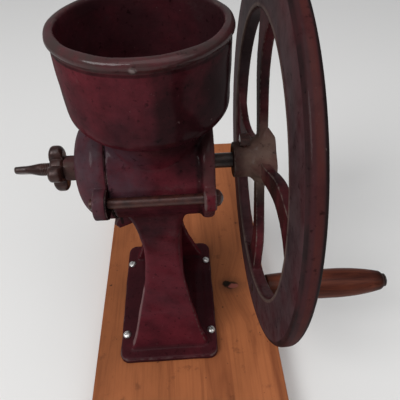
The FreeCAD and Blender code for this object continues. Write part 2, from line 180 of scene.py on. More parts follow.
def pointiness(tree, stops):
    g = tree.nodes.new("ShaderNodeNewGeometry")
    return ramp(tree, g.outputs["Pointiness"], stops)


def spread(tree, value, low, high):
    # 0 at low, 1 at high, held outside
    n = tree.nodes.new("ShaderNodeMapRange")
    n.inputs["From Min"].default_value = low
    n.inputs["From Max"].default_value = high
    tree.links.new(value, n.inputs["Value"])
    return n.outputs["Result"]


def along(tree, vec, axis):
    n = tree.nodes.new("ShaderNodeSeparateXYZ")
    tree.links.new(vec, n.inputs["Vector"])
    return n.outputs[axis]


def joined(tree, **values):
    n = tree.nodes.new("ShaderNodeCombineXYZ")
    for axis, value in values.items():
        feed(tree, n.inputs[axis], value)
    return n.outputs[0]


def vectorCalc(tree, operation, a, b=None):
    n = tree.nodes.new("ShaderNodeVectorMath")
    n.operation = operation
    tree.links.new(a, n.inputs[0])
    if isinstance(b, tuple):
        n.inputs[1].default_value = b
    elif b is not None:
        tree.links.new(b, n.inputs[1])
    return n.outputs["Value" if operation == 'LENGTH' else "Vector"]


def distance(tree, vec, centre, weight=(1, 1, 1)):
    # distance from a centre, with an axis left out where its weight is 0
    shift = vectorCalc(tree, 'SUBTRACT', vec, centre)
    return vectorCalc(tree, 'LENGTH', vectorCalc(tree, 'MULTIPLY', shift, weight))


def roundWheel(tree, vec):
    # distance from the shaft, place along it and a little of the angle about it: marks run round the wheel
    rise = calc(tree, 'SUBTRACT', along(tree, vec, "Z"), shaftZ)
    angle = calc(tree, 'ARCTAN2', rise, along(tree, vec, "Y"))
    away = distance(tree, vec, shaftPoint, aboutShaft)
    return joined(tree, X=away, Y=along(tree, vec, "X"), Z=times(tree, angle, 0.030))


# places on the mill, as functions of the shader tree and the object coordinates that give 0 to 1
shaftPoint, aboutShaft = (0.0, 0.0, shaftZ), (0, 1, 1)
bowlPoint, aboutBowl = (bowlX, 0.0, 0.0), (1, 1, 0)


def shifted(start, span):
    # both ends of a span, measured from a start
    return start + span[0], start + span[1]


def slope(axis, low, high):
    return lambda t, v: spread(t, along(t, v, axis), low, high)


def within(centre, weight, low, high):
    return lambda t, v: spread(t, distance(t, v, centre, weight), low, high)


def overlap(*places):
    def product(t, v):
        value = places[0](t, v)
        for place in places[1:]:
            value = times(t, value, place(t, v))
        return value
    return product


def band(axis, low, high, blur):
    # 1 between two places on an axis, falling to 0 over the blur outside
    return overlap(slope(axis, low - blur, low), slope(axis, high + blur, high))


def ring(low, high, blur):
    # the same for the distance from the shaft
    return overlap(within(shaftPoint, aboutShaft, low - blur, low),
                   within(shaftPoint, aboutShaft, high + blur, high))


def zone(wear, *places):
    return overlap(*places), wear["tone"], wear["share"]


# paint: tones, the scales of its noises, and the weight of its coat
castPaint = dict(dark=(0.030, 0.0085, 0.0115), red=(0.096, 0.0130, 0.0190), worn=(0.084, 0.062, 0.060),
                 chip=(0.13, 0.075, 0.075), edge=(0.090, 0.058, 0.055), patch=13.0, mottle=75.0, grain=620.0,
                 coat=0.11)
wheelPaint = dict(dark=(0.017, 0.0085, 0.0095), red=(0.072, 0.0135, 0.0165), worn=(0.075, 0.052, 0.047),
                  chip=(0.13, 0.095, 0.085), edge=(0.115, 0.085, 0.074), patch=22.0, mottle=90.0, grain=700.0,
                  coat=0.08)
paintMarks = dict(scuff=38.0, wear=45.0, chip=330.0, pit=240.0, rub=160.0, gloss=55.0, lump=110.0,
                  stroke=420.0, brush=(0.12, 0.12, 1.0), coatRough=0.17, shinyCoat=0.42)


def agedPaint(name, p, zones, rounds=False, shine=None):
    mat, tree, shader, vec = newFinish(name)
    marks = paintMarks
    laid = roundWheel(tree, vec) if rounds else stretched(tree, vec, marks["brush"])     # how the brush ran
    patches = cloud(tree, laid if rounds else vec, [(0.38, p["dark"]), (0.64, p["red"])], p["patch"], 6)
    mottle = cloud(tree, vec, [(0.30, 0.62), (0.70, 1.25)], p["mottle"], 8, 0.65)
    colour = mix(tree, 1.0, patches, mottle, 'MULTIPLY')
    scuffs = cloud(tree, vec, [(0.60, 0.0), (0.72, 0.30)], marks["scuff"], 9, 0.7)
    colour = mix(tree, scuffs, colour, p["worn"])
    patchy = cloud(tree, vec, [(0.30, 0.25), (0.60, 1.0)], marks["wear"], 8, 0.65)
    for where, tone, share in zones:     # places where the paint has worn or gone dull, and where shade and highlights are painted
        colour = mix(tree, times(tree, times(tree, where(tree, vec), patchy), share), colour, tone)
    chips = cloud(tree, vec, [(0.70, 0.0), (0.73, 0.5)], marks["chip"], 4, 0.6)
    colour = mix(tree, chips, colour, p["chip"])
    pits = cloud(tree, vec, [(0.30, 0.45), (0.40, 1.0)], marks["pit"], 5, 0.6)
    colour = mix(tree, 1.0, colour, pits, 'MULTIPLY')
    rubbed = times(tree, pointiness(tree, [(0.508, 0.0), (0.555, 1.0)]), noise(tree, vec, marks["rub"], 5))
    colour = mix(tree, ramp(tree, rubbed, [(0.26, 0.0), (0.50, 0.85)]), colour, p["edge"])
    # painted shade: hollows and creases are darkened by their low pointiness
    creaseShade = pointiness(tree, [(0.40, 0.35), (0.495, 1.0)])
    colour = mix(tree, 1.0, colour, creaseShade, 'MULTIPLY')
    tree.links.new(colour, shader.inputs["Base Color"])
    setRough(tree, shader, vec, 0.38, 0.60, marks["gloss"], 6, 0.6)
    shader.inputs["Specular IOR Level"].default_value = 0.0     # the thin coat alone gives the gloss
    shader.inputs["Coat Weight"].default_value = p["coat"]
    shader.inputs["Coat Roughness"].default_value = marks["coatRough"]
    if shine:
        gloss = ramp(tree, shine(tree, vec), [(0.0, p["coat"]), (1.0, marks["shinyCoat"])])
        tree.links.new(gloss, shader.inputs["Coat Weight"])
    strokes = noise(tree, laid, marks["stroke"], 4, 0.6)
    bump(tree, shader, [(noise(tree, vec, marks["lump"], 5), 0.45, 0.0012), (strokes, 0.22, 0.0006),
                        (noise(tree, vec, p["grain"], 3), 0.25, 0.0004)])
    return mat


# the column is two flared panels, front and rear, joined by a narrower web: between the panels the sides are
# hollowed out, and the panels' edges follow a concave flare; heights are above the board
leg = dict(middle=0.0035, web=0.0125, panel=0.0090, plate=0.0085, top=0.128, open=0.096, reach=0.060,
           closing=0.012, heights=(0.007, 0.046, 0.088, 0.134), depths=(0.134, 0.114, 0.090, 0.076),
           flareHeights=(0.0085, 0.018, 0.030, 0.047, 0.066, 0.092, 0.110, 0.134),
           leftEdge=(-0.0424, -0.0386, -0.0350, -0.0309, -0.0263, -0.0200, -0.0175, -0.0145),
           rightEdge=(0.0440, 0.0404, 0.0370, 0.0330, 0.0286, 0.0240, 0.0222, 0.0214),
           trimLeft=-0.070, trimRight=0.075, trimDepth=0.078, toe=(0.004, 0.060), toeIn=0.0003, webFoot=0.001,
           webLap=0.002, floor=(0.0005, 0.0080), floorHalf=(0.036, 0.064))


# wear of the body, with its painted shade and highlights: each entry has the tone, the share of it, and places
# measured from the bowl's top (down), the shaft (up), the board (rise) or the cover's end (right)
bodyWear = dict(wall=(0.0540, 0.0565), wallInside=(0.0560, 0.0545), nearShaft=(0.0570, 0.0550),
                beadShine=(-0.0070, -0.0055),
                bead=dict(down=(-0.0094, -0.0086), tone=(0.042, 0.027, 0.025), share=0.95),
                # painted shade: a dark line under the bowl's bead
                underBeadShade=dict(down=(-0.0108, -0.0095), blur=0.0006, tone=(0.006, 0.003, 0.003), share=0.85),
                # painted shade on the bowl's inside wall
                inside=dict(up=(0.03, 0.05), tone=(0.030, 0.0105, 0.0125), share=0.75),
                # painted shade in the gap where the cover meets the chamber
                joint=dict(right=(-0.001, 0.0011), blur=0.0004, tone=(0.004, 0.0025, 0.0025), share=1.0),
                dull=dict(right=(0.0, 0.016), blurX=0.022, up=(0.004, 0.040), blurZ=0.018,
                          tone=(0.056, 0.036, 0.047), share=0.75),
                # creaseShade: painted shade where the chamber meets the flange's band
                creaseShade=dict(x=(0.0395, 0.0425), blur=0.0025, tone=(0.012, 0.006, 0.006), share=0.8),
                # flange: painted highlight, the proud band made lighter than the chamber
                flange=dict(x=(0.0440, 0.0540), blur=0.0006, tone=(0.080, 0.040, 0.038), share=0.55),
                shade=dict(x=(0.026, 0.042), up=(0.026, 0.050), blur=0.012,
                           tone=(0.012, 0.0055, 0.0062), share=0.85),
                # panel: painted highlight along the front panel's left edge
                panel=dict(gap=(0.0021, 0.0009), front=(-0.030, -0.036), rise=(0.0135, 0.090), blur=0.003,
                           span=0.1, tone=(0.26, 0.205, 0.20), share=0.85),
                # painted shade on the front right of the bowl
                bowlRightShade=dict(x=(0.005, 0.010), front=(0.0, -0.012), up=0.050, down=0.011, blur=0.012,
                               tone=(0.014, 0.0040, 0.0048), share=0.85),
                nick=dict(place=(0.0050, -0.0625, -0.0065), size=(0.0032, 0.0012),
                          tone=(0.30, 0.25, 0.24), share=0.9),
                # plate: the base plate darker, partly its own dark paint and grime, partly painted shade
                plate=dict(rise=(0.013, 0.009), tone=(0.012, 0.0068, 0.0072), share=1.0),
                column=dict(rise=0.024, up=-0.090, blur=0.030, tone=(0.105, 0.0145, 0.0220), share=0.65))


def panelEdgeHighlight(t, v):
    # painted highlight along the left edge of the front panel: a ramp holds the flare as shares of a span
    w = bodyWear["panel"]
    heights, span = leg["flareHeights"], w["span"]
    low, high = heights[0], heights[-1]
    stops = [((h - low) / (high - low), x / span + 0.5) for h, x in zip(heights, leg["leftEdge"])]
    flare = ramp(t, slope("Z", boardTop + low, boardTop + high)(t, v), stops)
    gap = calc(t, 'SUBTRACT', along(t, v, "X"), calc(t, 'MULTIPLY_ADD', flare, span, -span / 2))
    rest = overlap(slope("Y", *w["front"]), band("Z", *shifted(boardTop, w["rise"]), w["blur"]))
    return times(t, spread(t, gap, *w["gap"]), rest(t, v))


bowlWall = within(bowlPoint, aboutBowl, *bodyWear["wall"])
beadTop = overlap(bowlWall, slope("Z", *shifted(bowlTop, bodyWear["beadShine"])))


def bodyZones(w):
    near = within(shaftPoint, aboutShaft, *w["nearShaft"])
    bead, underBeadShade, inside, joint, dull = w["bead"], w["underBeadShade"], w["inside"], w["joint"], w["dull"]
    creaseShade, flange, shade, right = w["creaseShade"], w["flange"], w["shade"], w["bowlRightShade"]
    nick, plate, column = w["nick"], w["plate"], w["column"]
    nickPlace = (*nick["place"][:2], bowlTop + nick["place"][2])
    return [zone(bead, bowlWall, slope("Z", *shifted(bowlTop, bead["down"]))),
            zone(underBeadShade, bowlWall, band("Z", *shifted(bowlTop, underBeadShade["down"]), underBeadShade["blur"])),
            zone(inside, within(bowlPoint, aboutBowl, *w["wallInside"]),
                 slope("Z", *shifted(shaftZ, inside["up"]))),
            zone(joint, near, band("X", *shifted(coverEnd, joint["right"]), joint["blur"])),
            zone(dull, band("X", *shifted(coverEnd, dull["right"]), dull["blurX"]),
                 band("Z", *shifted(shaftZ, dull["up"]), dull["blurZ"])),
            zone(creaseShade, near, band("X", *creaseShade["x"], creaseShade["blur"])),
            zone(flange, near, band("X", *flange["x"], flange["blur"])),
            zone(shade, band("X", *shade["x"], shade["blur"]),
                 band("Z", *shifted(shaftZ, shade["up"]), shade["blur"])),
            zone(w["panel"], panelEdgeHighlight),
            zone(right, slope("X", *shifted(bowlX, right["x"])), slope("Y", *right["front"]),
                 band("Z", shaftZ + right["up"], bowlTop - right["down"], right["blur"])),
            zone(nick, within(nickPlace, (1, 1, 1), *nick["size"])),
            zone(plate, slope("Z", *shifted(boardTop, plate["rise"]))),
            zone(column, band("Z", boardTop + column["rise"], shaftZ + column["up"], column["blur"]))]


# painted shade in the gap where the cover meets the chamber
coverWear = dict(joint=dict(right=(-0.0012, 0.001), blur=0.0004, tone=(0.004, 0.0025, 0.0025), share=1.0),
                 dome=dict(right=(0.0, -0.006), tone=(0.062, 0.042, 0.051), share=0.75),
                 boss=dict(reach=(0.022, 0.014), tone=(0.060, 0.036, 0.026), share=0.8))


def coverZones(w):
    return [zone(w["joint"], band("X", *shifted(coverEnd, w["joint"]["right"]), w["joint"]["blur"])),
            zone(w["dome"], slope("X", *shifted(coverEnd, w["dome"]["right"]))),
            zone(w["boss"], within(shaftPoint, aboutShaft, *w["boss"]["reach"]))]


# wear of the wheel: inner and outer are measured from the rim's two radii, left and right from its faces
wheelWear = dict(tread=dict(outer=(-0.0015, 0.002), blur=0.002),
                 face=dict(inner=0.004, outer=-0.004, blur=0.006, tone=(0.066, 0.048, 0.051), share=0.60),
                 lip=dict(inner=(-0.001, 0.0022), blur=0.0012, left=(0.002, 0.0),
                          tone=(0.110, 0.076, 0.064), share=0.75),
                 hub=dict(reach=0.022, tone=(0.125, 0.081, 0.064), share=0.80),
                 hubEnd=dict(end=(0.010, 0.002), tone=(0.022, 0.013, 0.011), share=0.8),
                 dark=dict(past=0.002, blur=0.001, tone=(0.022, 0.0115, 0.0115), share=0.60),
                 rust=dict(left=(0.0052, 0.0078), blur=0.0015, tone=(0.085, 0.018, 0.013), share=0.40),
                 corner=dict(right=(-0.0022, 0.001), blur=0.001, tone=(0.009, 0.006, 0.006), share=0.9),
                 shoulder=dict(outer=(-0.0036, -0.0012), blur=0.0010,
                               tone=(0.010, 0.0068, 0.0070), share=0.8))


def wheelZones(w):
    tread = ring(*shifted(rimRadius, w["tread"]["outer"]), w["tread"]["blur"])
    face, lip, hub, hubEnd, dark = w["face"], w["lip"], w["hub"], w["hubEnd"], w["dark"]
    rust, corner, shoulder = w["rust"], w["corner"], w["shoulder"]
    return [zone(face, ring(rimInner + face["inner"], rimRadius + face["outer"], face["blur"])),
            zone(lip, ring(*shifted(rimInner, lip["inner"]), lip["blur"]),
                 slope("X", *shifted(rimLeft, lip["left"]))),
            zone(hub, ring(0.0, hub["reach"], hub["reach"])),
            zone(hubEnd, slope("X", *shifted(wheelLow.x, hubEnd["end"]))),
            zone(dark, tread, band("X", rimLeft - dark["past"], rimRight + dark["past"], dark["blur"])),
            zone(rust, tread, band("X", *shifted(rimLeft, rust["left"]), rust["blur"])),
            zone(corner, tread, band("X", *shifted(rimRight, corner["right"]), corner["blur"])),
            zone(shoulder, ring(*shifted(rimRadius, shoulder["outer"]), shoulder["blur"]))]


ironSet = dict(tones=((0.012, 0.008, 0.0075), (0.042, 0.020, 0.015), (0.085, 0.055, 0.042)),
               rubbed=(0.16, 0.12, 0.10))


def brownedIron(name, rubbed=True, tint=(1, 1, 1)):
    mat, tree, shader, vec = newFinish(name)
    tones = [tuple(a * b for a, b in zip(tone, tint)) for tone in ironSet["tones"]]
    rust = cloud(tree, vec, list(zip((0.32, 0.62, 0.82), tones)), 120.0, 8, 0.65)
    if rubbed:
        rust = mix(tree, pointiness(tree, [(0.52, 0.0), (0.60, 1.0)]), rust, ironSet["rubbed"])
    tree.links.new(rust, shader.inputs["Base Color"])
    setRough(tree, shader, vec, 0.24, 0.46, 90.0, 6)
    shader.inputs["Metallic"].default_value = 0.25
    shader.inputs["Specular IOR Level"].default_value = 0.4
    bump(tree, shader, [(noise(tree, vec, 260.0, 5), 0.3, 0.0006)])
    return mat


def oiledSteel(name, tint, rough):
    mat, tree, shader, vec = newFinish(name)
    drawn = stretched(tree, vec, (40, 420, 420))     # drawn out along the axis of the bars
    shade = cloud(tree, drawn, [(0.3, tuple(0.6 * c for c in tint)), (0.7, tint)], 1.0, 6)
    tree.links.new(shade, shader.inputs["Base Color"])
    setRough(tree, shader, vec, rough, rough + 0.2, 240.0, 5)
    shader.inputs["Metallic"].default_value = 0.9
    bump(tree, shader, [(noise(tree, vec, 500.0, 4), 0.12, 0.0003)])
    return mat


# the knot is an eye in four layers, each an oval with its shift, axis weights, inner and outer size,
# tone and share
pine = dict(light=(0.345, 0.112, 0.042), dark=(0.205, 0.060, 0.023), line=(0.11, 0.033, 0.013),
            stain=(0.085, 0.026, 0.012), speck=(0.035, 0.014, 0.009), knot=(0.0795, 0.0137), swing=0.016,
            swingReach=(0.055, 0.004), ragged=0.004,
            eye=((0.0, 0.0, (0.55, 0.8, 0.0), 0.006, 0.0140, (0.090, 0.034, 0.017), 0.6),
                 (0.0, 0.0, (0.60, 1.0, 0.0), 0.0066, 0.0080, (0.030, 0.013, 0.006), 0.9),
                 (0.0026, -0.0014, (0.62, 1.30, 0.0), 0.0058, 0.0068, (0.270, 0.080, 0.060), 0.95),
                 (-0.0058, 0.0024, (0.85, 1.0, 0.0), 0.0056, 0.0072, (0.012, 0.007, 0.003), 0.97)))


def varnishedPine():
    mat, tree, shader, vec = newFinish("varnishedPine")
    knotX, knotY = pine["knot"]
    away = distance(tree, vec, (knotX, knotY, boardTop), (0.62, 1.0, 0.0))
    push = joined(tree, X=times(tree, spread(tree, away, *pine["swingReach"]), pine["swing"]))
    bent = vectorCalc(tree, 'ADD', vec, push)     # the grain swings out round the knot
    rings = noise(tree, stretched(tree, bent, (1.0, 0.07, 1.0)), 48.0, 4, 0.55, 1.1)
    fine = noise(tree, stretched(tree, bent, (1.0, 0.025, 1.0)), 380.0, 6, 0.6)
    light, dark = pine["light"], pine["dark"]
    colour = ramp(tree, rings, [(0.26, dark), (0.46, light), (0.62, light), (0.78, dark)])
    colour = mix(tree, ramp(tree, fine, [(0.48, 0.0), (0.80, 0.38)]), colour, pine["line"])
    broad = cloud(tree, stretched(tree, vec, (1.0, 0.45, 1.0)), [(0.30, 0.66), (0.68, 1.14)], 14.0, 6, 0.6)
    colour = mix(tree, 1.0, colour, broad, 'MULTIPLY')
    stains = cloud(tree, vec, [(0.60, 0.0), (0.70, 0.45)], 62.0, 7, 0.62)
    colour = mix(tree, stains, colour, pine["stain"])
    specks = cloud(tree, vec, [(0.72, 0.0), (0.76, 0.8)], 190.0, 2)
    colour = mix(tree, specks, colour, pine["speck"])
    wobble = times(tree, noise(tree, vec, 240.0, 6, 0.7), pine["ragged"])
    for dx, dy, weight, inner, outer, tone, share in pine["eye"]:
        edge = calc(tree, 'ADD', distance(tree, vec, (knotX + dx, knotY + dy, 0.0), weight), wobble)
        layer = times(tree, spread(tree, edge, outer, inner), share)
        colour = mix(tree, layer, colour, tone)
    tree.links.new(colour, shader.inputs["Base Color"])
    setRough(tree, shader, vec, 0.42, 0.62, 30.0, 5)
    shader.inputs["Specular IOR Level"].default_value = 0.08
    shader.inputs["Coat Weight"].default_value = 0.10
    shader.inputs["Coat Roughness"].default_value = 0.32
    bump(tree, shader, [(fine, 0.18, 0.0004), (rings, 0.08, 0.0006), (layer, 0.25, 0.0006)])
    return mat


woodSet = dict(dark=(0.036, 0.0095, 0.0062), middle=(0.088, 0.0215, 0.0115), light=(0.145, 0.040, 0.0195),
               pore=(0.020, 0.007, 0.005), handled=((0.0, 0.5), (0.12, 1.0), (0.88, 1.0), (0.97, 0.28)))


def turnedWood():
    mat, tree, shader, vec = newFinish("turnedWood")
    grain = noise(tree, stretched(tree, vec, (0.06, 1.0, 1.0)), 150.0, 6, 0.6, 0.5)
    colour = ramp(tree, grain, [(0.30, woodSet["dark"]), (0.52, woodSet["middle"]), (0.72, woodSet["light"])])
    pores = cloud(tree, stretched(tree, vec, (0.05, 1.0, 1.0)), [(0.60, 0.0), (0.72, 0.6)], 900.0, 3)
    colour = mix(tree, pores, colour, woodSet["pore"])
    place = slope("X", gripLow.x, gripHigh.x)(tree, vec)
    handled = ramp(tree, place, woodSet["handled"])     # darker at the ends
    colour = mix(tree, 1.0, colour, handled, 'MULTIPLY')
    tree.links.new(colour, shader.inputs["Base Color"])
    setRough(tree, shader, vec, 0.34, 0.52, 80.0, 5)
    shader.inputs["Specular IOR Level"].default_value = 0.04
    shader.inputs["Coat Weight"].default_value = 0.12
    shader.inputs["Coat Roughness"].default_value = 0.25
    bump(tree, shader, [(grain, 0.08, 0.0004)])
    return mat


finishes = dict(bodyPaint=agedPaint("bodyPaint", castPaint, bodyZones(bodyWear), shine=beadTop),
                coverPaint=agedPaint("coverPaint", castPaint, coverZones(coverWear)),
                wheelPaint=agedPaint("wheelPaint", wheelPaint, wheelZones(wheelWear), rounds=True),
                iron=brownedIron("brownedIron", True, (1.15, 0.85, 0.85)),
                blackIron=brownedIron("blackIron", False),
                rodIron=brownedIron("rodIron", False, (1.5, 0.95, 0.95)),
                steel=oiledSteel("oiledSteel", (0.34, 0.32, 0.30), 0.28),
                bright=oiledSteel("brightSteel", (0.80, 0.79, 0.77), 0.22),
                burr=oiledSteel("groundIron", (0.24, 0.23, 0.22), 0.4),
                brass=oiledSteel("dullBrass", (0.55, 0.37, 0.15), 0.3),
                pine=varnishedPine(), wood=turnedWood())
nodeFinish = dict(wooden_board="pine", base_screws="bright", mill_body="bodyPaint", end_cover="coverPaint",
                  tie_bolts="iron", shaft_bush="brass", fixed_burr="burr", fixed_burr_screws="steel",
                  drive_shaft="blackIron", feed_auger="burr", auger_pin="steel", moving_burr="burr",
                  burr_pin="steel", thrust_button="steel", adjusting_screw="iron", lock_nut="iron",
                  flywheel="wheelPaint", hub_set_screw="rodIron", handle_spindle="blackIron",
                  handle_washer="blackIron", handle_grip="wood")
for node, finish in nodeFinish.items():
    nodes[node].data.materials.clear()
    nodes[node].data.materials.append(finishes[finish])
print("finishes:", len(finishes))


# a grid of points (rows x columns x 3) becomes a closed mesh: columns wrap round, rows wrap too when asked
def gridMesh(name, points, wrap=False):
    rows, cols = points.shape[:2]
    i = np.arange(rows if wrap else rows - 1)[:, None]
    j = np.arange(cols)[None, :]
    i2, j2 = (i + 1) % rows, (j + 1) % cols
    faces = np.stack([i * cols + j, i * cols + j2, i2 * cols + j2, i2 * cols + j], -1).reshape(-1, 4)
    mesh = bpy.data.meshes.new(name)
    mesh.from_pydata(points.reshape(-1, 3).tolist(), [], faces.tolist())
    grid = bmesh.new()
    grid.from_mesh(mesh)
    bmesh.ops.remove_doubles(grid, verts=grid.verts, dist=1e-6)
    bmesh.ops.dissolve_degenerate(grid, edges=grid.edges, dist=1e-7)
    bmesh.ops.recalc_face_normals(grid, faces=grid.faces)
    grid.to_mesh(mesh)
    grid.free()
    mesh.shade_smooth()
    return mesh


def roundAbout(x, radius, centre, count=96):
    # surface of revolution about a line along X: (x, r) rows carried round a circle
    t = np.linspace(0, 2 * np.pi, count, endpoint=False)
    x, radius = np.asarray(x, float)[:, None], np.asarray(radius, float)[:, None]
    return np.stack([x + 0 * t, centre[0] + radius * np.cos(t), centre[1] + radius * np.sin(t)], -1)


# castings: the solid's own surface, remeshed so that its edges are soft as sand-cast iron is
casting = dict(mill_body=0.00165, end_cover=0.0010, flywheel=0.0013, weld=1e-5, softening=3)

# sand-cast unevenness: along its normal each point moves by a sum of sines in three directions, above and
# below the bored chamber only, so that no running fit is touched; a thin ridge is left where the mould halves
# met, and the bowl's bead is drawn in and lowered a little
uneven = dict(depth=0.00012, waves=((190, 70, 130, 0.3), (-80, 210, 90, 1.7), (140, -120, 240, 4.1)),
              chamber=0.052, fade=0.012, seam=0.0050, seamDepth=0.00040, seamWidth=0.0013, seamFront=-0.02,
              beadTrim=0.0005, beadSquash=0.16, beadFoot=0.0130, beadFade=0.0026, beadInside=0.0540,
              beadEdge=0.003)


def unevenSurface(mesh):
    count = len(mesh.vertices)
    places, normals = np.empty(count * 3), np.empty(count * 3)
    mesh.vertices.foreach_get("co", places)
    mesh.vertices.foreach_get("normal", normals)
    places, normals = places.reshape(-1, 3), normals.reshape(-1, 3)
    x, y, z = places.T
    away = np.clip((np.abs(z - shaftZ) - uneven["chamber"]) / uneven["fade"], 0, 1) * (x < wheelLow.x)
    move = sum(np.sin(places @ np.array(w[:3]) + w[3]) for w in uneven["waves"]) * uneven["depth"]
    front = np.clip(-normals[:, 1] * 3 - 1.5, 0, 1) * (z > shaftZ) * (y < uneven["seamFront"])
    move = move + uneven["seamDepth"] * front * np.exp(-((x - uneven["seam"]) / uneven["seamWidth"]) ** 2)
    bead = np.clip((z - bowlTop + uneven["beadFoot"]) / uneven["beadFade"], 0, 1)
    bead = bead * np.clip((np.hypot(x - bowlX, y) - uneven["beadInside"]) / uneven["beadEdge"], 0, 1)
    move = move - uneven["beadTrim"] * bead
    moved = places + normals * (move * away)[:, None]
    moved[:, 2] += uneven["beadSquash"] * bead * away * (bowlTop - z)
    mesh.vertices.foreach_set("co", moved.ravel())


def settled(name, mesh, steps):
    # the mesh that an object has once its modifiers are worked out
    holder = bpy.data.objects.new(name, mesh)
    scene.collection.objects.link(holder)
    for kind, values in steps:
        modifier = holder.modifiers.new(kind.lower(), kind)
        for key, value in values.items():
            setattr(modifier, key, value)
    ready = holder.evaluated_get(bpy.context.evaluated_depsgraph_get())
    result = bpy.data.meshes.new_from_object(ready)
    bpy.data.objects.remove(holder)
    return result


def addPiece(name, mesh, finish, body, *replaced):
    piece = bpy.data.objects.new(name, mesh)
    scene.collection.objects.link(piece)
    mesh.materials.clear()
    mesh.materials.append(finishes[finish])
    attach(piece, body)
    if replaced:
        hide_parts(*replaced)
    print(name, "on", body, "with", len(mesh.polygons), "faces")
    return piece


def castPiece(node, body, hollows=(), fills=()):
    copy = nodes[node].data.copy()
    grid = bmesh.new()
    grid.from_mesh(copy)
    bmesh.ops.remove_doubles(grid, verts=grid.verts, dist=casting["weld"])
    grid.to_mesh(copy)
    grid.free()
    cutters = [bpy.data.objects.new("hollow", hollow) for hollow in hollows]
    for cutter in cutters:
        scene.collection.objects.link(cutter)
    cut = dict(operation='DIFFERENCE', solver='EXACT')
    mesh = settled("cut", copy, [('BOOLEAN', dict(cut, object=cutter)) for cutter in cutters])
    for cutter in cutters:
        bpy.data.objects.remove(cutter)
    grid = bmesh.new()
    for part in (mesh, *fills):
        grid.from_mesh(part)
    grid.to_mesh(mesh)
    grid.free()
    mesh = settled("cast", mesh, [('REMESH', dict(mode='VOXEL', voxel_size=casting[node])),
                                  ('SMOOTH', dict(factor=0.5, iterations=casting["softening"]))])
    unevenSurface(mesh)
    mesh.shade_smooth()
    return addPiece(node + "_casting", mesh, nodeFinish[node], body, node)


# blocks of the column: a rectangle whose sides change with the height above the board
def legBlock(name, h, x0, x1, y0, y1):
    z = boardTop + h
    corners = ((x0, y0), (x1, y0), (x1, y1), (x0, y1))
    rows = np.stack([np.stack([x + 0 * h, y + 0 * h, z], -1) for x, y in corners], 1)
    caps = [np.broadcast_to(rows[k].mean(0), rows[k].shape)[None] for k in (0, -1)]
    return gridMesh(name, np.concatenate([caps[0], rows, caps[1]]))


def legFace(h):
    return np.interp(h, leg["heights"], leg["depths"]) / 2


def legHollow(side):
    h = np.linspace(leg["plate"], leg["top"], 36)
    closing = np.clip((h - leg["open"]) / (leg["top"] - leg["open"]), 0, 1)
    near = leg["middle"] + side * (leg["web"] + leg["closing"] * closing ** 2)
    room = legFace(h) - leg["panel"]
    return legBlock("legHollow", h, near, leg["middle"] + side * leg["reach"], -room, room)


def legTrim(edge, far):
    h = np.linspace(leg["plate"], leg["flareHeights"][-1], 40)
    flare = np.interp(h, leg["flareHeights"], leg[edge])
    return legBlock("legTrim", h, flare, leg[far], -leg["trimDepth"], leg["trimDepth"])


def legToe(side):
    # the foot of a panel, out to its left edge
    h = np.linspace(*leg["toe"], 24)
    face = legFace(h)
    left = np.interp(h, leg["flareHeights"], leg["leftEdge"]) + leg["toeIn"]
    return legBlock("legToe", h, left, leg["middle"], side * face, side * (face - leg["panel"]))


def legWeb():
    h = np.linspace(leg["webFoot"], leg["top"], 30)
    room = legFace(h) - leg["panel"] + leg["webLap"]
    return legBlock("legWeb", h, leg["middle"] - leg["web"], leg["middle"] + leg["web"], -room, room)


def legFloor():
    h = np.linspace(*leg["floor"], 3)
    across, deep = leg["floorHalf"]
    return legBlock("legFloor", h, leg["middle"] - across, leg["middle"] + across, -deep, deep)


# the flange's edge stands proud as a rounded band: a half circle in section, carried round the shaft
flange = dict(left=0.0425, right=0.0528, radius=0.0466, crown=0.0024, root=0.040)


def flangeBand():
    s = np.linspace(0, np.pi, 13)
    x = (flange["left"] + flange["right"]) / 2 - (flange["right"] - flange["left"]) / 2 * np.cos(s)
    r = flange["radius"] + flange["crown"] * np.sin(s) ** 0.7
    x = np.concatenate([x[:1], x, x[-1:]])
    r = np.concatenate([[flange["root"]], r, [flange["root"]]])
    return gridMesh("flangeBand", roundAbout(x, r, (0.0, shaftZ), 180), wrap=True)


castPiece("mill_body", "stand",
          [legHollow(-1), legHollow(1), legTrim("leftEdge", "trimLeft"), legTrim("rightEdge", "trimRight")],
          [legWeb(), legFloor(), legToe(-1), legToe(1), flangeBand()])
castPiece("end_cover", "stand")
castPiece("flywheel", "rotor")


# lobed lock nut: at each angle the radius is the soft maximum of the hub circle and the four lobe circles,
# drawn in towards both faces by a fourth power so that the edges are round
nutSet = dict(lobes=4, reach=0.0136, lobe=0.0068, hub=0.0118, bore=0.00555, turn=70.0, drawIn=0.17,
              blend=22.0)


